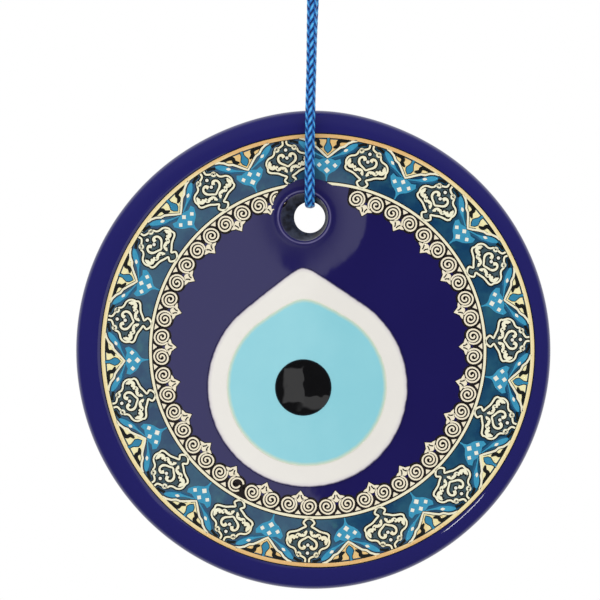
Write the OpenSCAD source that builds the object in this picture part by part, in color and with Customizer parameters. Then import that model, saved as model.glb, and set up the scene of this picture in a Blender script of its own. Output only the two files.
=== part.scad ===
// Evil eye ornament: a cobalt glass disc with a fused eye and a printed border, hung on a knotted cord.
// +Z is up and the printed face looks towards -Y.
// The origin is the point where the two strands of the cord meet under their knot.

/* [Glass disc] */
// Diameter of the disc
disc_d = 130; // [128:1:140]
// Thickness of the disc
disc_t = 8; // [7.5:0.5:8.5]
// Width of the rolled-over shoulder round the front face
shoulder_w = 5.5; // [3:0.5:6]
// Radius of the rounded edge round the back face
back_round = 3.5; // [2:0.5:4]
// How far the middle of the disc hangs below the knot
disc_drop = 99; // [99:1:101]

/* [Hanging hole] */
// Diameter at the narrowest place
hole_d = 8.5; // [8.5:0.5:10]
// Diameter of the funnel where it meets the front face
front_mouth_d = 14.5; // [14:0.5:15]
// Diameter of the flare at the back face
back_mouth_d = 13.2; // [13:0.1:14]
// Height of the hole above the middle of the disc
hole_up = 36.4; // [36:0.1:37]
// Sideways place of the hole
hole_x = -1; // [-1.5:0.5:0]
// How far the funnel's mouth lies to the left of the hole
mouth_shift = 1.5; // [0:0.5:2]

/* [Eye] */
// Diameter of the white pour
white_d = 55; // [50:1:56]
// Height of the white pour's tip above its middle
white_tip_up = 32.8; // [31:0.1:34]
// Diameter of the turquoise pour
iris_d = 43.8; // [36:0.2:46]
// Diameter of the black pupil
pupil_d = 15.4; // [10:0.2:20]
// Thickness of the white pour
white_t = 2; // [1:0.5:3]
// How far each pour stands above the one under it
pour_step = 0.3; // [0.2:0.1:0.5]

/* [Printed border] */
// Outer radius of the border
border_r = 59.1; // [57:0.1:59.5]
// Width of the gold band round the outside
gold_band_w = 1; // [0.5:0.1:1.5]
// Inner radius of the teal band
teal_in_r = 46; // [45:0.1:47]
// Width of the gold line inside the teal band
gold_line_w = 0.7; // [0.4:0.1:1]
// Radius of the circle that the scrolls sit on
scroll_ring_r = 42.7; // [42:0.1:43]
// Number of medallions, and of palmettes between them
motif_count = 15; // [12:1:16]
// Number of scroll pairs
scroll_count = 24; // [18:1:24]
// Thickness of one printed layer
print_t = 0.1; // [0.05:0.05:0.2]
// Radius round the hole that is left unprinted
clear_r = 10.6; // [9:0.1:12]

/* [Cord] */
// Diameter of the cord
cord_d = 2.75; // [2.5:0.05:2.8]
// Diameter of the knot
knot_d = 12; // [10:0.5:13]
// Height of the knot
knot_h = 12.5; // [10:0.5:14]
// Length of each tail above the knot
tail_l = 11; // [6:1:20]

/* [Hidden] */

disc_r = disc_d / 2;
face_z = disc_t / 2;
shoulder_h = disc_t - back_round;
border_x = 0.9;

eye_at = [-1.6, -10];
iris_at = [-1.8, -9.8];
pupil_at = [-2.7, -10.1];
white_tip_x = -1.2;
white_tip_r = 2.5;
iris_crown_at = [-0.6, 8.2];
iris_crown_r = 15.8;
white_top = face_z + pour_step;
iris_t = 1.2;
iris_top = white_top + pour_step;
pupil_t = 1;
pupil_top = iris_top + pour_step;

first_medallion = 14.9;
motif_step = 360 / motif_count;
first_scroll = 18.2;
scroll_span = 323.4;
scroll_step = scroll_span / (scroll_count - 1);
scroll_half = 3.75;
scroll_r = 2.25;
scroll_eye_r = 1.1;
ground_w = 4.9;

// Right half of a medallion, from its neck at the gold band down to its point: [sideways, radius]
medallion_half = [[0.8, 58], [0.8, 56.7], [2.9, 56.5], [3.7, 55.2], [4.4, 54.4], [5.9, 53.8],
    [6.5, 52.6], [6.3, 50.7], [5.5, 49.8], [3.2, 49.1], [1, 48.1], [1.8, 47.2], [0.8, 46.1]];
// Right half of a palmette, from its notch down to the foot of its stem
palmette_half = [[0.01, 52.9], [1, 52.8], [2.4, 52], [3.7, 52.5], [3.5, 51.3], [2.5, 49.8],
    [1.5, 48.9], [0.5, 48.2], [0.2, 46.1]];
// Right half of a gold fret, from the gold band down to its apex
fret_half = [[7.4, 57.3], [5.3, 56.2], [3, 54.7], [0.01, 52.9]];
// Right half of a scroll pair's leaf
leaf_half = [[0.6, 41.3], [1.7, 40.1], [0.8, 39.4], [0.01, 38.6]];

// The cord's route, from the knot down the front, through the hole and up the back
front_route = [[-0.4, -1.5, 0], [-0.4, -1.8, -5], [-0.5, -3.1, -14], [-0.6, -5.1, -23],
    [-0.8, -6.5, -31], [-0.9, -6.6, -39], [-1, -6.6, -47], [-1, -6.6, -53.5]];
bend_route = [[-1, -5.7, -56.8], [-1, -3.3, -59.2], [-0.9, 0, -60.1], [-0.9, 3.3, -59.2],
    [-0.9, 5.7, -56.8]];
back_route = [[-0.9, 6.6, -53.5], [-0.9, 6.6, -47], [-0.8, 6.6, -39], [-0.7, 6.5, -31],
    [-0.5, 5.1, -23], [-0.3, 3.1, -14], [0.1, 1.8, -5], [0.4, 1.5, 0]];
route = concat(front_route, bend_route, back_route);
route_steps = 2;
cord_sides = 8;
// The two tails: where each leaves the knot's middle, sideways and in depth, and how far it leans
tails = [[-1.6, 1.6, -18], [-0.8, -1.6, 16]];

// Places what is drawn flat, face up, on the hanging disc
module on_disc() {
    translate([0, 0, -disc_drop])
        rotate([90, 0, 0])
            children();
}

// The right half of an outline and its mirror image, as one closed outline
function mirrored(half) =
    concat(half, [for (i = [len(half) - 1:-1:0]) [-half[i][0], half[i][1]]]);

// A point at radius r, at an angle measured clockwise from the top
function polar(r, angle) = [r * sin(angle), r * cos(angle)];

// A round form with a smaller round form above it, joined by their tangents, as an outline
function drop_points(r, tip_at, tip_r) =
    let (far = norm(tip_at))
    let (lean = atan2(tip_at[0], tip_at[1]))
    let (spread = acos((r - tip_r) / far))
    concat(
        [for (i = [0:60]) polar(r, lean + spread + i * (360 - 2 * spread) / 60)],
        [for (i = [0:10]) tip_at + polar(tip_r, lean - spread + i * 2 * spread / 10)]);

module layer(top, thickness) {
    translate([0, 0, top - thickness])
        linear_extrude(thickness)
            children();
}

module white_outline() {
    tip_at = [white_tip_x, white_tip_up - white_tip_r];
    translate(eye_at)
        polygon(drop_points(white_d / 2, tip_at, white_tip_r));
}

module iris_outline() {
    translate(iris_at)
        polygon(drop_points(iris_d / 2, iris_crown_at, iris_crown_r));
}

module pupil_outline() {
    translate(pupil_at)
        circle(d = pupil_d, $fn = 96);
}

// The part of the face round the hole that stays free of print
module around_hole() {
    translate([hole_x, hole_up, 0])
        cylinder(r = clear_r, h = disc_t, $fn = 96);
}

// The waist is a true bore; a leaning cone opens it in front and a straight one behind
module hole_cut() {
    reach = norm([mouth_shift, face_z]);
    lean = atan(mouth_shift / face_z);
    start = hole_d * 0.3;
    sink = 1.5;
    widen = (front_mouth_d / 2 - start) / (reach + sink);
    land = 0.6;
    flare = (back_mouth_d - hole_d) / 2 / (face_z - land);
    over = 1;
    translate([hole_x, hole_up, 0]) {
        cylinder(d = hole_d, h = disc_t + 2 * over, center = true, $fn = 64);
        rotate([0, -lean, 0])
            translate([0, 0, -sink])
                cylinder(r1 = start, r2 = start + widen * (sink + reach + over), h = sink + reach + over, $fn = 64);
        mirror([0, 0, 1])
            translate([0, 0, land - over])
                cylinder(r1 = hole_d / 2 - flare * over, r2 = hole_d / 2 + flare * face_z, h = face_z + over, $fn = 64);
    }
}

// Section of the disc: flat faces, a wide rolled shoulder in front and a tighter round behind
function disc_section() =
    let (widest_z = back_round - face_z)
    concat(
        [[0, -face_z]],
        [for (i = [0:9]) [disc_r - back_round * (1 - sin(i * 10)), widest_z - back_round * cos(i * 10)]],
        [for (i = [0:12]) [disc_r - shoulder_w * (1 - cos(i * 7.5)), widest_z + shoulder_h * sin(i * 7.5)]],
        [[0, face_z]]);

module glass_disc() {
    color("midnightblue")
        on_disc()
            difference() {
                rotate_extrude($fn = 128)
                    polygon(disc_section());
                hole_cut();
                layer(face_z + 1, white_t - pour_step + 1)
                    white_outline();
            }
}

module white_drop() {
    color("white")
        on_disc()
            difference() {
                layer(white_top, white_t)
                    white_outline();
                layer(white_top + 1, iris_t - pour_step + 1)
                    iris_outline();
            }
}

module turquoise_iris() {
    color("skyblue")
        on_disc()
            difference() {
                layer(iris_top, iris_t)
                    iris_outline();
                layer(iris_top + 1, pupil_t - pour_step + 1)
                    pupil_outline();
            }
}

module black_pupil() {
    color("black")
        on_disc()
            layer(pupil_top, pupil_t)
                pupil_outline();
}

// One printed ring about the border's own middle, broken round the hole
module printed_ring(outer_r, inner_r, thickness) {
    on_disc()
        difference() {
            translate([border_x, 0, face_z])
                difference() {
                    cylinder(r = outer_r, h = thickness, $fn = 180);
                    translate([0, 0, -thickness])
                        cylinder(r = inner_r, h = 3 * thickness, $fn = 180);
                }
            around_hole();
        }
}

// Repeats a flat motif round the border, pointing outwards, on top of so many printed layers
module round_border(count, first, step, layers) {
    on_disc()
        for (i = [0:count - 1])
            translate([border_x, 0, 0])
                rotate([0, 0, -(first + i * step)])
                    layer(face_z + (layers + 1) * print_t, print_t)
                        children();
}

module teal_band() {
    color("teal")
        printed_ring(border_r - gold_band_w, teal_in_r, print_t);
}

module gold_outer_band() {
    color("goldenrod")
        printed_ring(border_r, border_r - gold_band_w, 2 * print_t);
}

module gold_inner_line() {
    color("khaki")
        printed_ring(teal_in_r, teal_in_r - gold_line_w, 2 * print_t);
}

module scroll_ground() {
    color("saddlebrown")
        printed_ring(teal_in_r - gold_line_w, teal_in_r - gold_line_w - ground_w, print_t);
}

module gold_medallions() {
    color("lemonchiffon")
        round_border(motif_count, first_medallion, motif_step, 1)
            polygon(mirrored(medallion_half));
}

module sky_palmettes() {
    color("deepskyblue")
        round_border(motif_count, first_medallion + motif_step / 2, motif_step, 1)
            polygon(mirrored(palmette_half));
}

module gold_frets() {
    color("gold")
        round_border(motif_count, first_medallion + motif_step / 2, motif_step, 1)
            polygon(mirrored(fret_half));
}

// Two round scrolls side by side, with a leaf between and below them
module scroll_pair() {
    for (side = [-1, 1])
        translate(polar(scroll_ring_r, side * scroll_half))
            difference() {
                circle(r = scroll_r, $fn = 32);
                circle(r = scroll_eye_r, $fn = 32);
            }
    polygon(mirrored(leaf_half));
}

module gold_scrolls() {
    color("antiquewhite")
        round_border(scroll_count, first_scroll, scroll_step, 1)
            scroll_pair();
}

// A smooth curve's point between b and c, a share t of the way, with a and d as their neighbours
function between(a, b, c, d, t) =
    0.5 * (2 * b + (c - a) * t + (2 * a - 5 * b + 4 * c - d) * t * t + (3 * b - a - 3 * c + d) * t * t * t);

function smooth(points, steps) =
    let (last = len(points) - 1)
    concat(
        [for (i = [0:last - 1], k = [0:steps - 1])
            between(points[max(i - 1, 0)], points[i], points[i + 1], points[min(i + 2, last)], k / steps)],
        [points[last]]);

function unit(v) = v / norm(v);

// Direction of the line at one of its points: straight down or up where it meets the knot
function heading(line, i) =
    i == 0 ? [0, 0, -1] : i == len(line) - 1 ? [0, 0, 1] : unit(line[i + 1] - line[i - 1]);

function ring_at(line, i, r, sides) =
    let (ahead = heading(line, i))
    let (across = unit(cross([1, 0, 0], ahead)))
    let (side = cross(ahead, across))
    [for (k = [0:sides - 1]) line[i] + r * (cos(k * 360 / sides) * across + sin(k * 360 / sides) * side)];

// A round tube along a line, closed at both ends
module swept(line, r, sides) {
    rings = len(line);
    points = [for (i = [0:rings - 1]) each ring_at(line, i, r, sides)];
    walls = [for (i = [0:rings - 2], k = [0:sides - 1])
        let (a = i * sides + k)
        let (b = i * sides + (k + 1) % sides)
        each [[a, a + sides, b], [b, a + sides, b + sides]]];
    ends = [[for (k = [0:sides - 1]) k], [for (k = [sides - 1:-1:0]) (rings - 1) * sides + k]];
    polyhedron(points, concat(walls, ends));
}

module cord_loop() {
    color("royalblue")
        swept(smooth(route, route_steps), cord_d / 2, cord_sides);
}

// Section of the knot: a barrel with rounded ends, flat where the strands come out
function knot_section() =
    let (flat_r = knot_d / 2 - 1.5)
    concat(
        [[0, 0], [flat_r, 0]],
        [for (i = [1:11]) [flat_r + 1.5 * sin(i * 15), knot_h * i / 12]],
        [[flat_r, knot_h], [0, knot_h]]);

module cord_knot() {
    color("royalblue")
        rotate_extrude($fn = 64)
            polygon(knot_section());
}

module cord_tails() {
    color("royalblue")
        difference() {
            for (tail = tails)
                translate([tail[0], tail[1], knot_h - 1])
                    rotate([0, tail[2], 0])
                        cylinder(d = cord_d, h = tail_l + 1, $fn = 32);
            cylinder(r = knot_d, h = knot_h);
        }
}

glass_disc();
white_drop();
turquoise_iris();
black_pupil();
teal_band();
gold_outer_band();
gold_inner_line();
gold_medallions();
gold_frets();
sky_palmettes();
scroll_ground();
gold_scrolls();
cord_loop();
cord_knot();
cord_tails();
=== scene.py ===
import bpy
import numpy as np
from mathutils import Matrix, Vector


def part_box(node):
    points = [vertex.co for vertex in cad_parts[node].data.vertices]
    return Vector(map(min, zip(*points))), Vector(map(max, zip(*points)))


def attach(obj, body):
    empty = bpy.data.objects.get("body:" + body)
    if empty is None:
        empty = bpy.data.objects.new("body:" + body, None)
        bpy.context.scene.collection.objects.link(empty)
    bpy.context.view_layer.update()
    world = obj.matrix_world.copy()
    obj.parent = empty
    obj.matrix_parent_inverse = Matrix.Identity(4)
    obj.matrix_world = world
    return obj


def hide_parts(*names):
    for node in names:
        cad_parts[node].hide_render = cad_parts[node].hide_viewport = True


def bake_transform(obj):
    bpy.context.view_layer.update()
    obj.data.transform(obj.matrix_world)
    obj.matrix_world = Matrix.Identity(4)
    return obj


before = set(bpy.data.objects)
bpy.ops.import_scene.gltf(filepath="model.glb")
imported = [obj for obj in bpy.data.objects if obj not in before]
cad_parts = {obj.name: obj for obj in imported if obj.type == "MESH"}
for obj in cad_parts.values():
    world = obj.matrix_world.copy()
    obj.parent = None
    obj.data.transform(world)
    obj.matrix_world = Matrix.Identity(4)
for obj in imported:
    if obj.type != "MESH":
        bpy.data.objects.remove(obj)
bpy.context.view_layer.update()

mm = 0.001

discLow, discHigh = (np.array(corner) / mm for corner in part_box("glass_disc"))
discRadius = (discHigh[0] - discLow[0]) / 2
discHalf = (discHigh[1] - discLow[1]) / 2  # half the glass's thickness
discDrop = -(discHigh[2] + discLow[2]) / 2  # how far the disc's middle hangs under the knot


def colour(red, green, blue):
    # A colour as a screen shows it, turned into the linear values that shaders use.
    screen = np.array([red, green, blue]) / 255
    linear = np.where(screen <= 0.04045, screen / 12.92, ((screen + 0.055) / 1.055) ** 2.4)
    return (*linear.tolist(), 1.0)


def operator(name, swapped=False):
    # A method that adds the Math node of that name, with the two values swapped for a reflected form.
    def method(self, other):
        return self.shader.math(name, *((other, self) if swapped else (self, other)))
    return method


class Number:
    # Wraps a number socket: an expression on it adds the Math nodes that work it out.
    def __init__(self, shader, socket):
        self.shader, self.socket = shader, socket

    __add__, __radd__ = operator("ADD"), operator("ADD", True)
    __sub__, __rsub__ = operator("SUBTRACT"), operator("SUBTRACT", True)
    __mul__, __rmul__ = operator("MULTIPLY"), operator("MULTIPLY", True)
    __truediv__, __rtruediv__ = operator("DIVIDE"), operator("DIVIDE", True)
    __pow__, __rpow__ = operator("POWER"), operator("POWER", True)

    def __neg__(self):
        return self.shader.math("MULTIPLY", self, -1)

    def __abs__(self):
        return self.shader.math("ABSOLUTE", self)


class Shader:
    # Builds the nodes of one material, or of the world.
    def __init__(self, owner):
        self.owner = owner
        owner.use_nodes = True
        self.tree = owner.node_tree
        self.surface = next(n for n in self.tree.nodes if n.type in ("BSDF_PRINCIPLED", "BACKGROUND"))
        self.spots = self.tree.nodes.new("ShaderNodeTexCoord")

    def feed(self, socket, value):
        if isinstance(value, Number):
            value = value.socket
        if isinstance(value, bpy.types.NodeSocket):
            self.tree.links.new(value, socket)
        else:
            socket.default_value = value

    def node(self, kind, settings=(), sockets=()):
        made = self.tree.nodes.new(kind)
        for key, value in dict(settings).items():
            setattr(made, key, value)
        for key, value in dict(sockets).items():
            self.feed(made.inputs[key], value)
        return made

    def math(self, operation, *values):
        made = self.node("ShaderNodeMath", {"operation": operation}, enumerate(values))
        return Number(self, made.outputs[0])

    def step(self, value, low, high):
        # Rises smoothly from 0 where value is low to 1 where it is high.
        made = self.node("ShaderNodeMapRange", {"interpolation_type": "SMOOTHSTEP"},
                         {"Value": value, "From Min": low, "From Max": high})
        return Number(self, made.outputs[0])

    def window(self, value, rise, fall):
        # 1 between two pairs of limits, fading to 0 across each pair.
        return self.step(value, *rise) * (1 - self.step(value, *fall))

    def axes(self, vector):
        made = self.node("ShaderNodeSeparateXYZ", (), {0: vector})
        return [Number(self, out) for out in made.outputs]

    def attribute(self, name):
        return Number(self, self.node("ShaderNodeAttribute", {"attribute_name": name}).outputs["Fac"])

    def noise(self, scale, detail, stretch=(1, 1, 1), roughness=0.5):
        # Cloudy noise, with scale features to a metre.
        spots = self.spots.outputs["Object"]
        placed = self.node("ShaderNodeMapping", (), {"Vector": spots, "Scale": stretch})
        made = self.node("ShaderNodeTexNoise", (), {
            "Vector": placed.outputs[0], "Scale": scale, "Detail": detail, "Roughness": roughness})
        return Number(self, made.outputs["Fac"])

    def blend(self, share, first, second):
        # The first colour where share is 0 and the second where it is 1; 6 and 7 are the colour sockets.
        made = self.node("ShaderNodeMix", {"data_type": "RGBA"}, {0: share, 6: first, 7: second})
        return made.outputs[2]

    def bump(self, height, distance, strength):
        made = self.node("ShaderNodeBump", (), {"Height": height, "Distance": distance, "Strength": strength})
        return made.outputs[0]

    def finish(self, **sockets):
        # Feeds the surface's sockets: baseColor is Base Color.
        for key, value in sockets.items():
            name = "".join(" " + c if c.isupper() else c for c in key)
            self.feed(self.surface.inputs[name[0].upper() + name[1:]], value)
        return self.owner


def newShader(name):
    return Shader(bpy.data.materials.new(name))


def gridFaces(rows, columns):
    # Four-sided faces of a grid of rows by columns points, whose last column meets the first.
    row = np.arange(rows - 1)[:, None] * columns
    column = np.arange(columns)[None, :]
    after = (column + 1) % columns
    quads = np.stack([row + column, row + after, row + columns + after, row + columns + column], axis=-1)
    return quads.reshape(-1, 4)


def fanFaces(centre, ring):
    # Triangles from one point to a closed ring of points.
    return np.stack([np.full(len(ring), centre), ring, np.roll(ring, -1)], axis=-1)


def joined(solids):
    # Several (points, faces) solids as one, where faces is a list of index arrays.
    points, faces, count = [], [], 0
    for solidPoints, solidFaces in solids:
        points.append(solidPoints)
        faces += [block + count for block in solidFaces]
        count += len(solidPoints)
    return np.concatenate(points), faces


def turnedOut(points, faces):
    # The faces of a closed solid, reversed where their signed volume (a . b x c over 6) is negative.
    volume = 0.0
    for block in faces:
        for k in range(1, block.shape[1] - 1):
            a, b, c = points[block[:, 0]], points[block[:, k]], points[block[:, k + 1]]
            volume += np.einsum("ij,ij->i", a, np.cross(b, c)).sum()
    return faces if volume > 0 else [block[:, ::-1] for block in faces]


def makePiece(name, points, faces, material, nodes=(), values=(), sharpAngle=35):
    # points are in millimetres from the origin; faces are index arrays of three or four corners.
    mesh = bpy.data.meshes.new(name)
    mesh.from_pydata((points * mm).tolist(), [], [face for block in faces for face in block.tolist()])
    for key, perPoint in dict(values).items():
        mesh.attributes.new(key, "FLOAT", "POINT").data.foreach_set("value", perPoint.astype(np.float32))
    mesh.shade_smooth()
    mesh.set_sharp_from_angle(angle=np.radians(sharpAngle))
    mesh.materials.append(material)
    mesh.validate()
    piece = bpy.data.objects.new(name, mesh)
    bpy.context.scene.collection.objects.link(piece)
    if nodes:
        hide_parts(*nodes)
    print(name, "made:", sum(len(block) * (block.shape[1] - 2) for block in faces), "triangles")
    return piece


def smoothLine(points, steps):
    # A Catmull-Rom curve through all points: between b and c it is
    # (2b + (c-a)t + (2a-5b+4c-d)t^2 + (3b-a-3c+d)t^3) / 2 with a and d as the points before and after.
    points = np.array(points, float)
    padded = np.concatenate([2 * points[:1] - points[1:2], points, 2 * points[-1:] - points[-2:-1]])
    a, b, c, d = (padded[k:len(padded) - 3 + k, None, :] for k in range(4))
    t = (np.arange(steps) / steps)[None, :, None]
    squared, cubed = 2 * a - 5 * b + 4 * c - d, 3 * b - a - 3 * c + d
    curve = 0.5 * (2 * b + (c - a) * t + squared * t ** 2 + cubed * t ** 3)
    return np.concatenate([curve.reshape(-1, points.shape[1]), points[-1:]])


# The glass face, in millimetres; places on it are (sideways, upwards) from the disc's middle
faceSizes = {
    "dome": 0.3, "domeReach": 60,  # how much higher the middle is than the face at this radius
    "mouthAt": (-2.5, 36.4), "mouthRadius": 7.05,  # the hole's mouth
    "lip": 0.1, "lipWidth": 0.9,  # the raised edge round the mouth
    "slope": 0.15, "slopeReach": 11,  # how far the face sinks towards the hole on its right side
    "slopeLean": 0.25, "slopeFade": 4,  # how that side slants under the hole, and how softly it begins
    "ripple": 0.012,  # height of the slow unevenness of poured glass
}


def faceHeight(x, z):
    # Height of the front face over a flat plane: a shallow dome, a lip round the hole's mouth, a slope
    # on its right side, and slow waves, each a smooth function of (x, z).
    f = faceSizes
    mouthX, mouthZ = f["mouthAt"]
    dome = f["dome"] * (1 - (np.hypot(x, z) / f["domeReach"]) ** 2)
    reach = np.hypot(x - mouthX, z - mouthZ) - f["mouthRadius"]
    lip = f["lip"] * np.exp(-(reach / f["lipWidth"]) ** 2)
    rise = np.clip(reach / f["slopeReach"], 0, 1)
    rightSide = 0.5 + 0.5 * np.tanh((x - mouthX + f["slopeLean"] * (mouthZ - z)) / f["slopeFade"])
    slope = -f["slope"] * (1 - rise ** 2 * (3 - 2 * rise)) * rightSide
    waves = np.sin(x / 9 + 1.3) * np.sin(z / 11 + 0.4) + 0.6 * np.sin((x + z) / 6.5) * np.cos((x - z) / 8.5)
    return dome + lip + slope + f["ripple"] * waves


def onDisc(x, z, height):
    # A point of the disc, in millimetres from the knot; height is measured from the glass's middle.
    x, z, height = np.broadcast_arrays(x, z, height)
    return np.stack([x, -height, z - discDrop], axis=-1)


def onFace(x, z, lift):
    return onDisc(x, z, discHalf + lift + faceHeight(x, z))


glassSizes = {
    "shoulder": 5.5,  # width of the rolled-over shoulder
    "backRound": 3.5,  # radius of the edge behind
    "waistAt": (-1.0, 36.4), "waistRadius": 4.25, "waistHeight": -0.5,  # the hole's narrowest ring
    "backMouthRadius": 6.6,
    "mouthEdge": 0.5, "mouthEdgeDepth": 0.35,  # half the width of the mouth's rounded edge, and its depth
    "topBulge": 0.7, "topSpread": 17,  # the outline stands out above the hole, over so many degrees
    "footBulge": 0.4, "footSpread": 30,  # and again at the foot
    "bulgeFrom": 40, "bulgeOver": 25,  # the radius where both begin, and the distance over which they grow
    "lineOut": 0.1, "lineWidth": 0.17,  # the painted highlight along the lip
    "dullReach": 5.5,  # how far round the mouth the glass is less polished
    "across": 288,  # points round each circle
}


def cobaltGlass():
    # Deep blue, paler on the rim as painted light, with a smoky matt wall in the hole and a painted highlight
    # along its lip.
    shader = newShader("cobaltGlass")
    rim, wall, nearHole, lip = (shader.attribute(name) for name in ("rim", "holeWall", "nearHole", "lip"))
    base = shader.blend(shader.noise(35, 3), colour(27, 22, 84), colour(32, 27, 94))
    # Painted light: the rim is made paler, as if light shone through the thinner glass there.
    base = shader.blend(rim * 0.8, base, colour(39, 38, 108))
    smoke = shader.step(shader.noise(700, 4, (1, 0.25, 1)), 0.3, 0.7)
    base = shader.blend(wall, base, shader.blend(smoke, colour(12, 14, 36), colour(62, 70, 92)))
    # A painted highlight: a pale line along the mouth's lip.
    base = shader.blend(lip * (0.2 + 0.8 * shader.noise(200, 2)), base, colour(150, 144, 190))
    height = (shader.noise(45, 1) + shader.noise(160, 2) * 0.15) * (1 - 0.9 * rim)
    return shader.finish(baseColor=base, roughness=0.03 + 0.14 * nearHole + 0.35 * wall,
                         normal=shader.bump(height, 0.0002, 0.3))


def sine(t):
    return np.sin(t * np.pi / 2)


def cosine(t):
    return np.cos(t * np.pi / 2)


def part(start, end, share):
    return start + (end - start) * share


def circles(steps, start, end, radius, height, follow=0.0, wall=0.0, rim=0.0):
    # One row for each of steps circles between two middles; the rest are values, or functions of the
    # way t from 0 to 1. follow is how far a circle follows the face's own height.
    t = np.linspace(0, 1, steps + 1)[1:]
    given = (radius, height, follow, wall, rim)
    rest = [np.broadcast_to(value(t) if callable(value) else value, t.shape) for value in given]
    return np.column_stack([part(start, end, t[:, None]), *rest])


def makeGlassDisc():
    # Each row is a circle x = cx + p sin u, z = cz + p cos u at height h. Its middle (cx, cz) slides from
    # the hole to the disc's own middle while its radius p grows, and back again behind the disc.
    s = glassSizes
    waist, mouth, middle = np.array(s["waistAt"]), np.array(faceSizes["mouthAt"]), np.zeros(2)
    waistRadius, waistHeight, backMouth = s["waistRadius"], s["waistHeight"], s["backMouthRadius"]
    mouthRadius, edge = faceSizes["mouthRadius"], s["mouthEdge"]
    wallTop = discHalf - s["mouthEdgeDepth"]
    widest = s["backRound"] - discHalf  # the height at which the disc is widest
    flatEdge, backFlat = discRadius - s["shoulder"], discRadius - s["backRound"]
    rows = np.concatenate([
        # The hole: from the back in to its waist, out to the mouth, and over the mouth's edge
        circles(8, waist, waist, lambda t: part(waistRadius, backMouth, 1 - sine(t)),
                lambda t: part(-discHalf, waistHeight, t), wall=1),
        circles(16, waist, mouth, lambda t: part(waistRadius, mouthRadius - edge, t ** 0.75),
                lambda t: part(waistHeight, wallTop, t), lambda t: t ** 3, lambda t: 1 - t ** 8),
        circles(8, mouth, mouth, lambda t: mouthRadius - edge * np.cos(t * np.pi),
                lambda t: part(wallTop, discHalf, sine(t)), 1),
        # The face, the shoulder, the rounded edge behind, and the back
        circles(90, mouth, middle, lambda t: part(mouthRadius + edge, flatEdge, t ** 1.3), discHalf, 1,
                rim=lambda t: t ** 40),
        circles(16, middle, middle, lambda t: flatEdge + s["shoulder"] * sine(t),
                lambda t: part(widest, discHalf, cosine(t)), lambda t: cosine(t) ** 2, rim=1),
        circles(10, middle, middle, lambda t: backFlat + s["backRound"] * cosine(t),
                lambda t: widest - s["backRound"] * sine(t), rim=lambda t: 1 - t),
        circles(28, middle, waist, lambda t: part(backFlat, backMouth, t), -discHalf)])
    u = np.arange(s["across"]) * 2 * np.pi / s["across"]
    cx, cz, radius, height, follow, wall, rim = (rows[:, k:k + 1] for k in range(7))
    fromTop = np.degrees((u + np.pi) % (2 * np.pi) - np.pi)
    fromFoot = np.degrees(u - np.pi)
    bulge = s["topBulge"] * np.exp(-(fromTop / s["topSpread"]) ** 2)
    bulge = bulge + s["footBulge"] * np.exp(-(fromFoot / s["footSpread"]) ** 2)
    radius = radius + bulge * np.clip((radius - s["bulgeFrom"]) / s["bulgeOver"], 0, 1) ** 2
    x, z = cx + radius * np.sin(u), cz + radius * np.cos(u)
    points = onDisc(x, z, height + follow * faceHeight(x, z)).reshape(-1, 3)
    faces = gridFaces(len(rows) + 1, s["across"]) % len(points)  # the last row meets the first
    fromLip = np.hypot(x - mouth[0], z - mouth[1]) - mouthRadius
    lipHighlight = np.exp(-((fromLip - s["lineOut"]) / s["lineWidth"]) ** 2) * (height > 0)
    values = {"holeWall": np.broadcast_to(wall, x.shape).ravel(),
              "rim": np.broadcast_to(rim, x.shape).ravel(),
              "nearHole": np.exp(-(np.maximum(fromLip, 0) / s["dullReach"]) ** 2).ravel(),
              "lip": lipHighlight.ravel()}
    return makePiece("glassDisc", points, turnedOut(points, [faces]), cobaltGlass(),
                     ["glass_disc"], values)


# The poured eye: each pour's middle, radius and height over the glass. Its top is drawn out into a tip by
# spread and softened by soft, both in degrees, and turned by lean; crown raises its middle.
pourSizes = {
    "white": {"at": (-1.6, -10.0), "radius": 27.5, "spread": 36.5, "soft": 3.5, "lean": -2.1,
              "lift": 0.3, "crown": 0.0, "edge": 0.25},
    "iris": {"at": (-1.8, -9.75), "radius": 21.85, "spread": 34.0, "soft": 10.0, "lean": -2.0,
             "lift": 0.42, "crown": 0.0, "edge": 0.12},
    "pupil": {"at": (-2.75, -10.1), "radius": 7.7, "spread": 0.0, "soft": 5.0, "lean": 0.0,
              "lift": 0.55, "crown": 0.25, "edge": 0.12},
}
pourDepth = 1.0  # how deep every pour goes into the glass
pourAcross = 240  # points round each outline


def pourOutline(s, angle):
    # Distance from a pour's middle to its edge: a circle of radius r, whose top is drawn out into a tip
    # along two of its tangents, r / cos(spread - |angle from the tip|), softened at the tip.
    turn = (angle - np.radians(s["lean"]) + np.pi) % (2 * np.pi) - np.pi
    fromTip = np.sqrt(turn ** 2 + np.radians(s["soft"]) ** 2)
    return s["radius"] / np.cos(np.maximum(np.radians(s["spread"]) - fromTip, 0))


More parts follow.
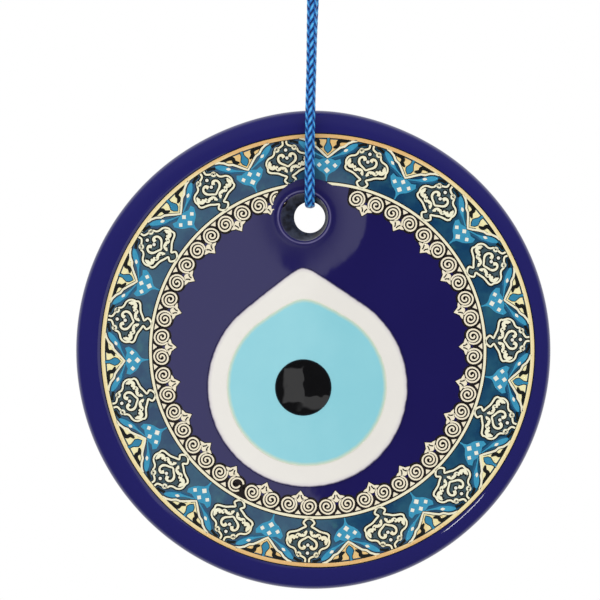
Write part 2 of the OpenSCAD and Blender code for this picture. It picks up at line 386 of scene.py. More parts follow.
def makePour(name, s, material, node):
    # Rows are outlines at a share q of the way to the edge, pushed on by an outset: over the top, where the
    # height is lift + crown (1 - q^2), round the edge on a quarter circle, and back underneath.
    edge, (middleX, middleZ) = s["edge"], s["at"]
    u = np.arange(pourAcross) * 2 * np.pi / pourAcross
    reach = pourOutline(s, u)
    top = 1 - (1 - np.linspace(0, 1, 34)[1:]) ** 1.6
    bend = np.linspace(0, np.pi / 2, 8)[1:]
    under = np.linspace(1, 0, 8)[:-1]
    q = np.concatenate([top, np.ones(len(bend)), under])
    outset = edge * np.concatenate([0 * top, np.sin(bend), under])
    lift = np.concatenate([s["lift"] + s["crown"] * (1 - top ** 2), s["lift"] - edge * (1 - np.cos(bend)),
                           np.full(len(under), -pourDepth)])
    distance = q[:, None] * (reach - edge) + outset[:, None]
    x, z = middleX + distance * np.sin(u), middleZ + distance * np.cos(u)
    poleLifts = np.array([s["lift"] + s["crown"], -pourDepth])
    poles = onFace(np.full(2, middleX), np.full(2, middleZ), poleLifts)
    points = np.concatenate([onFace(x, z, lift[:, None]).reshape(-1, 3), poles])
    count, ring = distance.size, np.arange(pourAcross)
    faces = [gridFaces(len(q), pourAcross), fanFaces(count, ring)[:, ::-1],
             fanFaces(count + 1, ring + count - pourAcross)]
    fromEdge = np.append((reach - distance).ravel(), [reach.min()] * 2)
    return makePiece(name, points, turnedOut(points, faces), material, [node],
                     {"fromEdge": np.maximum(fromEdge, 0)}, 60)


def whiteGlass():
    # Milky white, with a thin blue shadow where it meets the cobalt glass.
    shader = newShader("whiteGlass")
    near = shader.attribute("fromEdge") + (shader.noise(500, 3) - 0.5) * 0.4
    body = shader.blend(shader.noise(60, 4), colour(246, 243, 236), colour(240, 237, 232))
    edge = shader.blend(shader.step(near, 0.15, 0.75), colour(40, 34, 84), colour(222, 216, 220))
    base = shader.blend(shader.step(near, 0.3, 1.6), edge, body)
    return shader.finish(baseColor=base, roughness=0.06, normal=shader.bump(shader.noise(50, 2), 0.0004, 0.2))


def turquoiseGlass():
    # Turquoise that pales to cream and then green in a thin line at its edge.
    shader = newShader("turquoiseGlass")
    near = shader.attribute("fromEdge") + (shader.noise(700, 3) - 0.5) * 0.35
    body = shader.blend(shader.noise(90, 4), colour(142, 214, 228), colour(155, 222, 233))
    rimTone = shader.blend(shader.step(near, 0.0, 0.4), colour(238, 238, 222), colour(202, 224, 204))
    base = shader.blend(shader.step(near, 0.2, 1.3), rimTone, body)
    return shader.finish(baseColor=base, roughness=0.06, normal=shader.bump(shader.noise(50, 2), 0.0004, 0.2))


def blackGlass():
    shader = newShader("blackGlass")
    near = shader.attribute("fromEdge") + (shader.noise(900, 2) - 0.5) * 0.3
    body = shader.blend(shader.noise(300, 3), colour(10, 10, 12), colour(18, 18, 20))
    base = shader.blend(shader.step(near, 0.0, 0.5), colour(30, 44, 52), body)
    return shader.finish(baseColor=base, roughness=0.02,
                         normal=shader.bump(shader.noise(120, 2), 0.0003, 0.25))


# The printed border. Radii are from its own middle, angles are clockwise from the top.
borderSizes = {
    "x": 1.2,  # how far right of the disc's middle the border's own middle is
    "outer": 59.1, "goldWidth": 1.0, "tealInner": 46.0, "lineWidth": 0.7, "groundInner": 42.4,
    "groundBegins": 11.0,  # the angle at which the scrolls' dark ground begins
    "thinRim": 0.2, "wideRim": 0.28,  # dark rims beside the gold lines
    "clearAt": (-1.0, 36.4), "clearRadius": 10.6,  # the circle round the hole that is left unprinted
    "medallions": 15, "firstMedallion": 14.9,
    "scrolls": 24, "firstScroll": 18.2, "scrollSpan": 323.4, "scrollHalf": 2.79, "scrollRing": 42.6,
    "deepFrom": 0.65, "deepTo": 0.4,  # how far in from the outer edge the gold begins and ends to deepen
    "sunk": -0.3,  # where the underside of each layer lies, inside the glass
}
# How far the top of each printed layer stands over the glass
layers = {"teal": 0.05, "ground": 0.06, "field": 0.08, "blue": 0.10, "outline": 0.12, "gold": 0.16,
          "white": 0.19}
# Each ink's two tones, and how many clouds of them lie in a metre
inks = {
    "lineGold": ((255, 250, 220), (250, 240, 204), 400),
    "scrollBrown": ((20, 12, 14), (36, 22, 20), 400),
    "slateInk": ((52, 76, 88), (78, 102, 108), 600),
    "outlineInk": ((6, 14, 16), (14, 26, 28), 400),
    "shadeEnamel": ((14, 84, 128), (28, 104, 142), 500),
    "skyEnamel": ((30, 138, 182), (66, 172, 208), 700),
    "veeCream": ((253, 250, 226), (246, 238, 204), 400),
    "hookInk": ((8, 14, 14), (20, 26, 24), 400),
    "dropEnamel": ((30, 122, 168), (52, 150, 184), 700),
    "whiteInk": ((253, 252, 240), (242, 241, 222), 400),
    "scrollCream": ((255, 248, 224), (252, 238, 206), 400),
}
# Each gold's pale and deep tone, and how much deeper it is along the border's outermost edge
golds = {
    "bandGold": ((254, 240, 184), (238, 190, 122), 0.3),
    "medallionCream": ((255, 252, 222), (255, 245, 206), 0.0),
    "fretLustre": ((255, 246, 188), (244, 200, 126), 0.0),
}

tealOuter = borderSizes["outer"] - borderSizes["goldWidth"]
groundOuter = borderSizes["tealInner"] - borderSizes["lineWidth"]
motifStep = 360 / borderSizes["medallions"]
medallionTurns = borderSizes["firstMedallion"] + motifStep * np.arange(borderSizes["medallions"])
fretTurns = medallionTurns + motifStep / 2
scrollStep = borderSizes["scrollSpan"] / (borderSizes["scrolls"] - 1)
scrollTurns = borderSizes["firstScroll"] + scrollStep * np.arange(borderSizes["scrolls"])


def turnedOutSolid(points, faces):
    return points, turnedOut(points - points.mean(axis=0), faces)


def stroke(line, width, layer, closed=False):
    # A raised line: every point of the flat line is spread by half the width to each side.
    line = np.array(line, float)
    ahead = np.roll(line, -1, axis=0) - np.roll(line, 1, axis=0)
    if not closed:
        ahead[0], ahead[-1] = line[1] - line[0], line[-1] - line[-2]
    ahead /= np.linalg.norm(ahead, axis=1, keepdims=True)
    side = np.stack([-ahead[:, 1], ahead[:, 0]], axis=-1) * (np.broadcast_to(width, len(line)) / 2)[:, None]
    low, high = np.full(len(line), borderSizes["sunk"]), np.full(len(line), layers[layer])
    section = [np.column_stack([line + side * k, h]) for k, h in ((-1, low), (-1, high), (1, high), (1, low))]
    points = np.stack(section, axis=1).reshape(-1, 3)
    count = len(line)
    if closed:
        return turnedOutSolid(points, [gridFaces(count + 1, 4) % len(points)])
    ends = np.array([[3, 2, 1, 0], [4 * count - 4, 4 * count - 3, 4 * count - 2, 4 * count - 1]])
    return turnedOutSolid(points, [gridFaces(count, 4), ends])


def fill(outline, middle, layer):
    # A flat solid inside an outline that its middle sees all of: a fan above, walls, and a fan below.
    outline = np.array(outline, float)
    count = len(outline)
    low, high = np.full(count, borderSizes["sunk"]), np.full(count, layers[layer])
    points = np.concatenate([np.column_stack([outline, high]), np.column_stack([outline, low]),
                             [[*middle, high[0]], [*middle, low[0]]]])
    ring = np.arange(count)
    return turnedOutSolid(points, [gridFaces(2, count), fanFaces(2 * count, ring)[:, ::-1],
                                   fanFaces(2 * count + 1, ring + count)])


def circle(t, r, radius, sides):
    # Points (t + radius cos a, r + radius sin a).
    angle = np.arange(sides) * 2 * np.pi / sides
    return np.stack([t + radius * np.cos(angle), r + radius * np.sin(angle)], axis=-1)


def disk(t, r, radius, layer, sides=12):
    return fill(circle(t, r, radius, sides), (t, r), layer)


def ringLine(t, r, radius, width, layer):
    return stroke(circle(t, r, radius, 16), width, layer, True)


def bothSides(solid):
    # A flat solid and its mirror image over the middle line.
    points, faces = solid
    return [solid, (points * [-1, 1, 1], [block[:, ::-1] for block in faces])]


def aroundBorder(solids, turns):
    # Copies of flat solids at each turn, bent round the border: sideways t becomes the angle t / r.
    # What falls in the clear circle round the hole sinks into the glass.
    points, faces = joined(solids)
    t, r, height = points.T
    angle = np.radians(turns)[:, None] + t / r
    x, z = borderSizes["x"] + r * np.sin(angle), r * np.cos(angle)
    clearX, clearZ = borderSizes["clearAt"]
    fromHole = np.hypot(x - clearX, z - clearZ)
    height = np.where(fromHole < borderSizes["clearRadius"], borderSizes["sunk"], height)
    shift = (np.arange(len(turns)) * len(points))[:, None, None]
    copies = [(block[None] + shift).reshape(-1, block.shape[1]) for block in faces]
    return onFace(x, z, height).reshape(-1, 3), copies


def band(inner, outer, layer, begins=0.0, steps=720, across=6):
    # A printed ring between two radii. Where it crosses the clear circle round the hole it starts farther
    # out: along a ray, that circle ends at m + sqrt(R^2 - d^2), with its middle m along the ray and d off it.
    # Between straight up and the angle begins nothing is printed.
    b = borderSizes
    least = 0.02  # a ring that is narrower than this is left unprinted
    a = np.arange(steps) * 2 * np.pi / steps
    toHole = np.array(b["clearAt"]) - [b["x"], 0]
    along = toHole[0] * np.sin(a) + toHole[1] * np.cos(a)
    off = toHole[0] * np.cos(a) - toHole[1] * np.sin(a)
    crossed = (np.abs(off) < b["clearRadius"]) & (along > 0)
    leaves = np.where(crossed, along + np.sqrt(np.maximum(b["clearRadius"] ** 2 - off ** 2, 0)), 0)
    leaves = np.where(a < np.radians(begins), outer, leaves)
    start = np.clip(leaves, inner, outer - least)[:, None]
    top = np.where(leaves > outer - least, b["sunk"], layers[layer])[:, None] + np.zeros(across)
    r = start + (outer - start) * np.linspace(0, 1, across)
    r = np.column_stack([r[:, 0], r, r[:, -1]])
    under = np.full(steps, b["sunk"] - 0.1)
    height = np.column_stack([under, top, under])
    x, z = b["x"] + r * np.sin(a)[:, None], r * np.cos(a)[:, None]
    points = onFace(x, z, height).reshape(-1, 3)
    return points, turnedOut(points, [gridFaces(steps + 1, across + 2) % len(points)])


def printed(name, solid, material, nodes=()):
    points, faces = solid
    return makePiece(name, points, faces, material, nodes, (), 25)


def inkShader(name):
    # Screen-printed enamel: two tones in fine clouds, and a faint grain on the surface.
    first, second, scale = inks[name]
    shader = newShader(name)
    base = shader.blend(shader.noise(scale, 4), colour(*first), colour(*second))
    return shader.finish(baseColor=base, roughness=0.25,
                         normal=shader.bump(shader.noise(4000, 2), 0.00003, 0.3))


def tealEnamel():
    # Washes from blue to teal, with greener patches, under a smooth glaze.
    shader = newShader("tealEnamel")
    wash = shader.noise(110, 4, roughness=0.6)
    base = shader.blend(shader.step(wash, 0.3, 0.7), colour(18, 62, 100), colour(40, 92, 118))
    base = shader.blend(shader.step(shader.noise(260, 3), 0.55, 0.75) * 0.5, base, colour(52, 112, 120))
    return shader.finish(baseColor=base, roughness=0.06,
                         normal=shader.bump(shader.noise(45, 1), 0.0004, 0.3))


def goldLustre(name):
    # Fired gold: deeper and more orange towards the top and the bottom of the disc, paler at the sides,
    # deeper again along the border's outermost edge, and worn brown in specks.
    pale, deep, outerDeep = golds[name]
    b = borderSizes
    shader = newShader(name)
    x, _, z = shader.axes(shader.spots.outputs["Object"])
    fromMiddle = abs(z + discDrop * mm) / (b["outer"] * mm)
    radius = ((x - b["x"] * mm) ** 2 + (z + discDrop * mm) ** 2) ** 0.5
    outermost = shader.step(radius, (b["outer"] - b["deepFrom"]) * mm, (b["outer"] - b["deepTo"]) * mm)
    deepness = shader.step(fromMiddle + (shader.noise(220, 3) - 0.5) * 0.35, 0.7, 1.0)
    deepness = shader.math("MINIMUM", deepness + outerDeep * outermost, 1.0)
    base = shader.blend(deepness, colour(*pale), colour(*deep))
    worn = shader.step(shader.noise(1500, 3), 0.62, 0.74)
    base = shader.blend(worn * 0.5, base, colour(176, 132, 84))
    return shader.finish(baseColor=base, roughness=0.3,
                         normal=shader.bump(shader.noise(2500, 2), 0.00004, 0.4))


# Motifs are in millimetres from the border's middle: (sideways, outwards), right half only where a middle
# line divides the shape, from its outer end to its inner end. A third number is a spot's size.
medallion = {
    "outline": [(0.55, 57.9), (0.6, 56.9), (1.6, 56.3), (2.45, 56.1), (3.1, 55.5), (3.3, 54.8), (3.9, 54.25),
                (4.9, 53.95), (5.55, 53.4), (5.85, 52.5), (5.6, 51.4), (5.65, 50.7), (5.05, 50.1),
                (3.9, 49.75), (2.9, 49.4), (2.1, 48.9), (1.4, 48.5), (0.75, 48.1), (1.2, 47.6), (1.5, 47.2),
                (1.2, 46.6), (0.6, 46.1)],
    "foot": (0, 45.9),
    "body": slice(1, 17), "bodyFoot": (0, 48.2),  # the part of the outline that goes round the body
    "bodyMiddle": (0, 53), "neck": (0, 47.2, 1.2),
    "lineWidth": 0.5,
    "darkEdge": 0.36, "lobeDark": 0.9,  # how far the dark outline stands out, and the lobes' share of it
    "heart": [(0.8, 53.4), (1.15, 54.1), (1.9, 54.15), (2.4, 53.5), (2.3, 52.6), (1.75, 51.95), (0.85, 51.4)],
    "heartFoot": (0, 50.9), "heartWidth": [0.95, 0.85, 0.6, 0.6, 0.65, 0.55, 0.5, 0.5],
    "lobe": [(4.75, 53.15), (4.95, 52.1), (4.3, 51.35), (3.4, 51.25), (2.75, 50.6), (1.95, 50.7),
             (1.2, 50.45), (0.75, 49.8), (0.45, 49.3)],
    "lobeWidth": [0.6, 1.15, 1.35, 1.0, 1.15, 0.75, 1.0, 0.8, 0.35],
    "notches": [(4.35, 52.9, 0.3), (4.3, 51.95, 0.24), (3.35, 51.75, 0.26), (2.55, 51.15, 0.22),
                (3.0, 50.75, 0.2), (1.3, 50.1, 0.2), (2.4, 55.85, 0.24)],
    "bud": (2.4, 55.85, 0.5, 0.5),  # a ring: its place, radius and width
    "dots": [(0, 55.4, 0.45), (0, 53.2, 0.45)],
    "flag": [(1.4, 57.65), (2.4, 57.5), (3.7, 56.9)], "flagWidth": 0.75,
}
palmette = {
    "outline": [(0, 52.7), (1.0, 52.5), (2.2, 52.1), (3.5, 52.6), (3.85, 51.6), (3.4, 50.8), (2.8, 49.9),
                (2.1, 49.2), (1.4, 48.8), (0.6, 48.2), (0.25, 47.4), (0.15, 46.3)],
    "foot": (0, 46.2), "middle": (0, 50.6),
    "marks": [(0, 51.55, 0.72), (2.15, 50.7, 0.66), (0, 49.25, 0.82)],
}
fret = {
    "vee": [(7.9, 58.2), (6.7, 57.8), (5.5, 57.1), (4.5, 56.1), (3.4, 55.7), (2.2, 54.7), (1.0, 53.6)],
    "apex": (0, 52.8), "middle": (0, 57.0),
    "veeWidth": 0.55, "veeDark": 0.4,  # the gold line, and how much wider the dark one under it is
    "hook": [(6.2, 57.95), (4.9, 57.6), (3.6, 57.6), (2.75, 57.1), (2.75, 56.35), (2.2, 55.8), (1.45, 55.5)],
    "hookWidth": [0.35, 0.75, 1.05, 1.05, 1.0, 0.9, 0.45],
    "drop": [(0.34, 58.1), (0.32, 56.9), (0.65, 56.2), (1.0, 55.5), (0.7, 54.7)],
    "dropFoot": (0, 54.0), "dropMiddle": (0, 55.3), "dropLine": 0.45,
    "leaf": [(8.1, 57.3), (7.2, 56.7), (6.3, 56.0), (5.3, 55.2), (4.4, 54.45), (3.4, 53.9), (2.2, 53.3),
             (0.8, 52.7)],
    "leafWidth": [0.4, 1.1, 1.35, 1.25, 0.95, 0.5, 0.35, 0.3],
    "shadeDrop": 0.55,  # how far in from the leaf its darker shade lies
    "spot": [(5.5, 55.45), (4.9, 55.1), (4.4, 54.8)], "spotWidth": [0.2, 0.75, 0.2],
}
scroll = {
    "turns": 2.45, "reach": 2.12, "pitch": 0.9, "start": 222,  # start is the angle of the outer end
    "even": 0.35,  # turns before the spiral begins to close in
    "stem": [(0.75, 40.5), (0.95, 40.9)],
    "lineWidth": 0.46, "underRadius": 2.52,  # the dark disk that each spiral lies on
    "leaf": [(0.3, 41.7), (0.75, 41.3), (1.15, 40.95), (1.8, 40.75), (2.35, 40.45), (1.7, 40.1), (1.1, 39.95),
             (0.75, 39.5)],
    "leafTip": (0, 38.55), "leafMiddle": (0, 40.3), "leafUnder": 0.5,  # the dark line round the leaf
    "vein": [(0.75, 40.9), (0.35, 40.2), (0.28, 39.7)], "veinWidth": 0.34,
    "wedge": [(0.85, 44.95), (0, 43.85), (-0.85, 44.95)], "wedgeMiddle": (0, 44.5),
    "worn": 14, "wornParts": [(0, 0.51), (0.69, 1.63)],  # one spiral of this pair has only these turns left
}


def throughFoot(half, foot):
    # A right half line, its foot on the middle line, and the mirror image back up.
    half = np.array(half, float)
    return np.concatenate([half, [foot], (half * [-1, 1])[::-1]])


def mirroredWidths(widths):
    return widths + widths[-2::-1]


def softStroke(line, widths, layer, extra=0.0):
    # A stroke through few points, with its own width at each, both made smooth.
    widths = smoothLine(np.array(widths, float)[:, None], 3)[:, 0]
    return stroke(smoothLine(line, 3), widths + extra, layer)


def spiralStroke(begins, ends):
    # A spiral round (scrollHalf, scrollRing): its radius stays at reach for the first turns called even
    # and shrinks by pitch in each turn after that. The stem leads into its outer end.
    s = scroll
    n = np.linspace(begins, ends, int((ends - begins) * 18))
    angle = np.radians(s["start"]) - 2 * np.pi * n
    radius = s["reach"] - s["pitch"] * np.maximum(n - s["even"], 0)
    line = np.stack([borderSizes["scrollHalf"] + radius * np.cos(angle),
                     borderSizes["scrollRing"] + radius * np.sin(angle)], axis=-1)
    if begins == 0:
        line = np.concatenate([smoothLine(s["stem"] + [tuple(line[0])], 3)[:-1], line])
    return stroke(line, s["lineWidth"], "gold")


def medallionLines(layer, extra=0.0):
    # A medallion's outline, heart and lobes, wider by extra than their own width.
    m = medallion
    outline = smoothLine(throughFoot(m["outline"], m["foot"]), 3)
    heart = throughFoot(m["heart"], m["heartFoot"])
    return [stroke(outline, m["lineWidth"] + extra, layer),
            softStroke(heart, mirroredWidths(m["heartWidth"]), layer, extra),
            *bothSides(softStroke(m["lobe"], m["lobeWidth"], layer, extra * m["lobeDark"]))]


def printGrounds():
    # The teal ring between two gold lines, and the scrolls' dark ground inside them.
    b, s = borderSizes, scroll
    teal, outer = band(b["tealInner"], tealOuter, "teal"), band(tealOuter, b["outer"], "gold")
    inner = band(groundOuter, b["tealInner"], "gold")
    leaf = throughFoot(s["leaf"], s["leafTip"])
    under = bothSides(disk(b["scrollHalf"], b["scrollRing"], s["underRadius"], "ground", 20))
    under += [stroke(leaf, s["leafUnder"], "ground"), fill(leaf, s["leafMiddle"], "ground")]
    ground = joined([band(b["groundInner"], groundOuter, "ground", b["groundBegins"]),
                     aroundBorder(under, scrollTurns)])
    return [
        printed("tealBand", teal, tealEnamel(), ["teal_band"]),
        printed("goldOuterBand", outer, goldLustre("bandGold"), ["gold_outer_band"]),
        printed("goldInnerLine", inner, inkShader("lineGold"), ["gold_inner_line"]),
        printed("scrollGround", ground, inkShader("scrollBrown"), ["scroll_ground"])]


def printOutlines():
    # Slate fields in the medallions, and the dark edges under all gold lines.
    b, m, f = borderSizes, medallion, fret
    body = smoothLine(throughFoot(m["outline"][m["body"]], m["bodyFoot"]), 2)
    slate = [fill(body, m["bodyMiddle"], "field"), disk(*m["neck"], "field")]
    dark = medallionLines("outline", 2 * m["darkEdge"])
    dark += bothSides(stroke(m["flag"], m["flagWidth"], "outline"))
    dark += [disk(t, r, size + m["darkEdge"], "outline") for t, r, size in m["dots"]]
    vee = stroke(throughFoot(f["vee"], f["apex"]), f["veeWidth"] + f["veeDark"], "outline")
    rims = [band(tealOuter - b["thinRim"], tealOuter, "field"),
            band(b["outer"], b["outer"] + b["wideRim"], "field"),
            band(b["tealInner"], b["tealInner"] + b["wideRim"], "field")]
    edges = joined([aroundBorder(dark, medallionTurns), aroundBorder([vee], fretTurns), *rims])
    return [
        printed("slateFields", aroundBorder(slate, medallionTurns), inkShader("slateInk")),
        printed("darkOutlines", edges, inkShader("outlineInk"))]


def printMedallions():
    gold = medallionLines("gold") + bothSides(ringLine(*medallion["bud"], "gold"))
    return [printed("medallionGold", aroundBorder(gold, medallionTurns), goldLustre("medallionCream"),
                    ["gold_medallions"])]


def printPalmettes():
    # Blue palmettes and slanting leaves, with a darker shade along each leaf.
    p, f = palmette, fret
    shade = softStroke(np.array(f["leaf"]) - [0, f["shadeDrop"]], f["leafWidth"], "field")
    blue = [fill(throughFoot(p["outline"], p["foot"]), p["middle"], "blue")]
    blue += bothSides(softStroke(f["leaf"], f["leafWidth"], "blue"))
    shades, blues = aroundBorder(bothSides(shade), fretTurns), aroundBorder(blue, fretTurns)
    return [
        printed("leafShades", shades, inkShader("shadeEnamel")),
        printed("skyPalmettes", blues, inkShader("skyEnamel"), ["sky_palmettes"])]


def printFrets():
    # A gold field over each vee, with dark hooks and a blue drop on it. The hooks' ink also draws the
    # medallions' notches and the veins of the scrolls' leaves.
    f, s = fret, scroll
    vee, drop = throughFoot(f["vee"], f["apex"]), throughFoot(f["drop"], f["dropFoot"])
    field = fill(smoothLine(vee, 2), f["middle"], "outline")
    veeGold = stroke(vee, f["veeWidth"], "gold")
    hooks = bothSides(softStroke(f["hook"], f["hookWidth"], "gold"))
    hooks += [stroke(drop, f["dropLine"], "gold", True)]
    notches = [disk(side * t, r, size, "white") for t, r, size in medallion["notches"] for side in (-1, 1)]
    veins = bothSides(stroke(s["vein"], s["veinWidth"], "white"))
    dark = joined([aroundBorder(notches, medallionTurns), aroundBorder(hooks, fretTurns),
                   aroundBorder(veins, scrollTurns)])
    blue = fill(drop, f["dropMiddle"], "white")
    return [
        printed("fretGold", aroundBorder([field], fretTurns), goldLustre("fretLustre"),
                ["gold_frets"]),
        printed("fretLines", aroundBorder([veeGold], fretTurns), inkShader("veeCream")),
        printed("darkHooks", dark, inkShader("hookInk")),
        printed("fretDrops", aroundBorder([blue], fretTurns), inkShader("dropEnamel"))]


def printWhites():
    marks = [disk(t, r, size, "white", 4) for t, r, size in palmette["marks"]]
    marks += [disk(-t, r, size, "white", 4) for t, r, size in palmette["marks"] if t]
    marks += bothSides(softStroke(fret["spot"], fret["spotWidth"], "white"))
    dots = [disk(*dot, "white") for dot in medallion["dots"]]
    white = joined([aroundBorder(marks, fretTurns), aroundBorder(dots, medallionTurns)])
    return [printed("whiteMarks", white, inkShader("whiteInk"))]


def printScrolls():
    # Pairs of spirals with a leaf between them and wedges between the pairs. One spiral is worn in two
    # parts, and the wedge beside it is gone.
    s = scroll
    whole = spiralStroke(0, s["turns"])
    worn = [bothSides(spiralStroke(*limits))[1] for limits in s["wornParts"]]
    leaf = fill(throughFoot(s["leaf"], s["leafTip"]), s["leafMiddle"], "gold")
    wedge = fill(s["wedge"], s["wedgeMiddle"], "gold")
    sound = np.delete(scrollTurns, s["worn"])
    gold = joined([
        aroundBorder(bothSides(whole), sound), aroundBorder([*worn, whole], scrollTurns[[s["worn"]]]),
        aroundBorder([leaf, wedge], scrollTurns), aroundBorder([wedge], sound[1:] - scrollStep / 2)])
    return [printed("scrollGold", gold, inkShader("scrollCream"), ["gold_scrolls"])]


def makeBorder():
    return [*printGrounds(), *printOutlines(), *printMedallions(), *printPalmettes(), *printFrets(),
            *printWhites(), *printScrolls()]


cordSizes = {
    "diameter": 2.75,
    "carriers": 6,  # yarns that wind each way
    "lead": 15.6,  # length in which a yarn goes once round
    "yarnDepth": 0.3, "yarnMiddle": 0.85,  # depth of the braid, and the yarn height at the cord's diameter
    "spacing": 0.26,  # between rings of the mesh
    "around": 48,  # points round each ring
    "running": 13,  # rings in the running mean that rounds the tightest turns
    "pressDepth": 1.5, "pressReach": 3.0,  # how much thinner the cord is where it hangs over the glass
    "pressBelow": 45,  # height over the disc's middle under which the cord can be pressed
    "knotRadius": 4.7,  # of the turns' centreline
    "knotTurns": 1.25,
    "knotPitch": 5.2,
    "knotTops": (9.8, 7.2),  # the height at which each strand begins its turns
    "meltedLength": 1.2, "endRound": 0.9,  # the ends are sealed: smooth, and rounded over
}
frontRoute = [(-0.4, -1.5, 0), (-0.4, -1.8, -5), (-0.5, -3.1, -14), (-0.6, -5.1, -23), (-0.8, -6.5, -31),
              (-0.9, -6.6, -39), (-1, -6.6, -47), (-1, -6.6, -53.5)]
bendRoute = [(-1, -5.7, -56.8), (-1, -3.3, -59.2), (-0.9, 0, -60.1), (-0.9, 3.3, -59.2), (-0.9, 5.7, -56.8)]
backRoute = [(-0.9, 6.6, -53.5), (-0.9, 6.6, -47), (-0.8, 6.6, -39), (-0.7, 6.5, -31), (-0.5, 5.1, -23),
             (-0.3, 3.1, -14), (0.1, 1.8, -5), (0.4, 1.5, 0)]
# From the front strand up into the knot, round it, and out as the first tail
frontIn = [(0.5, -1.5, 2.5), (1.3, -1.4, 5.5), (1.5, -1.2, 8), (2.6, -0.9, 10.2)]
frontOut = [(-1.6, 3.6, 3.4), (-1.8, 2.0, 4.6), (-1.5, 1.4, 6.5), (-1.4, 1.4, 9), (-1.6, 1.4, 11.5),
            (-2.6, 1.6, 15), (-4.2, 1.8, 19), (-5.6, 2.0, 23)]
# The same for the back strand and the second tail
backIn = [(0.9, 1.5, 2.5), (1.4, 1.4, 4.5), (3.0, 0.2, 6.6)]
backOut = [(-1.6, 3.4, 0.6), (-1.9, 1.2, 0.9), (-1.6, -0.8, 2.4), (-1.4, -1.4, 5), (-1.4, -1.4, 9),
           (-1.3, -1.5, 11.5), (-0.6, -1.9, 15), (0.6, -2.4, 19), (2.0, -2.8, 23)]


def knotTurn(top):
    # The turns round the knot, from height top down: (R cos a, R sin a, top - pitch a / 2 pi).
    s = cordSizes
    a = np.radians(np.arange(0, 360 * s["knotTurns"] + 1, 30))
    height = top - s["knotPitch"] * a / (2 * np.pi)
    return np.stack([s["knotRadius"] * np.cos(a), s["knotRadius"] * np.sin(a), height], axis=-1)


def cordPath():
    # The whole cord from one tail's end to the other's, as even steps on one curve, and the way along it.
    firstTop, secondTop = cordSizes["knotTops"]
    firstEnd = np.concatenate([frontIn, knotTurn(firstTop), frontOut])[::-1]
    secondEnd = np.concatenate([backIn, knotTurn(secondTop), backOut])
    line = smoothLine(np.concatenate([firstEnd, frontRoute, bendRoute, backRoute, secondEnd]), 12)
    way = np.append(0, np.cumsum(np.linalg.norm(np.diff(line, axis=0), axis=1)))
    even = np.linspace(0, way[-1], int(way[-1] / cordSizes["spacing"]))
    line = np.stack([np.interp(even, way, line[:, k]) for k in range(3)], axis=-1)
    weights = np.hanning(cordSizes["running"])[1:-1]
    weights = weights / weights.sum()
    half = len(weights) // 2
    padded = np.concatenate([2 * line[:1] - line[half:0:-1], line, 2 * line[-1:] - line[-2:-2 - half:-1]])
    line = np.stack([np.convolve(padded[:, k], weights, "valid") for k in range(3)], axis=-1)
    return line, np.append(0, np.cumsum(np.linalg.norm(np.diff(line, axis=0), axis=1)))


def cordFrames(line):
    # Two directions across the line at every point, turned so that they never twist about it: the angle
    # from one ring's fixed direction to the next is measured along the line and taken away again.
    ahead = np.gradient(line, axis=0)
    ahead /= np.linalg.norm(ahead, axis=1, keepdims=True)
    across = np.array([1.0, 0, 0]) - ahead * ahead[:, :1]
    across /= np.linalg.norm(across, axis=1, keepdims=True)
    carried = across[:-1] - ahead[1:] * np.einsum("ij,ij->i", across[:-1], ahead[1:])[:, None]
    turnSine = np.einsum("ij,ij->i", np.cross(carried, across[1:]), ahead[1:])
    turnCosine = np.einsum("ij,ij->i", carried, across[1:])
    turned = np.append(0, np.cumsum(np.arctan2(turnSine, turnCosine)))[:, None]
    first = across * np.cos(turned) - np.cross(ahead, across) * np.sin(turned)
    return first, np.cross(ahead, first)


def braidHeight(angle, way):
    # A two-over-two braid. Yarns that wind one way follow a = n (angle/2pi + way/lead), the others
    # b = n (angle/2pi - way/lead). A yarn's back is cos(pi times the distance from its middle), and it
    # rises and dips by half as a sine four yarns long; the higher of the two yarns is the one that is
    # seen. Gives its height as a share of the most it can be.
    n, lead = cordSizes["carriers"], cordSizes["lead"]
    a = n * (angle / (2 * np.pi) + way / lead)
    b = n * (angle / (2 * np.pi) - way / lead)
    one = 0.5 * np.sin(np.pi / 2 * ((np.floor(a) + b) % 4)) + np.cos(np.pi * (a % 1 - 0.5))
    other = -0.5 * np.sin(np.pi / 2 * ((np.floor(b) + a) % 4)) + np.cos(np.pi * (b % 1 - 0.5))
    return np.maximum(one, other) / 1.5


def braidedCord():
    # Painted light on the braid: painted highlights on the yarn backs and painted shade between the yarns,
    # under a fine fuzz.
    shader = newShader("braidedCord")
    height = shader.attribute("yarnHeight")
    fuzz = shader.noise(5200, 3, (1, 1, 0.5))
    # Painted shade and light by yarn height: darker blue low down, brighter blue on the yarn backs.
    deep = shader.blend(shader.step(height, 0.35, 0.8), colour(2, 40, 120), colour(12, 118, 210))
    # A painted highlight on the yarn crowns.
    withPaintedHighlight = shader.blend(shader.step(height + (fuzz - 0.5) * 0.5, 0.72, 1.0), deep, colour(96, 202, 254))
    # Painted shade in the gaps between the yarns.
    base = shader.blend((1 - shader.step(height, 0.2, 0.6)) * 0.75, withPaintedHighlight, colour(2, 20, 68))
    shader.surface.inputs["Sheen Weight"].default_value = 0.08
    shader.surface.inputs["Sheen Roughness"].default_value = 0.4
    return shader.finish(baseColor=base, roughness=0.5 - 0.12 * height,
                         normal=shader.bump(fuzz, 0.00006, 0.7))


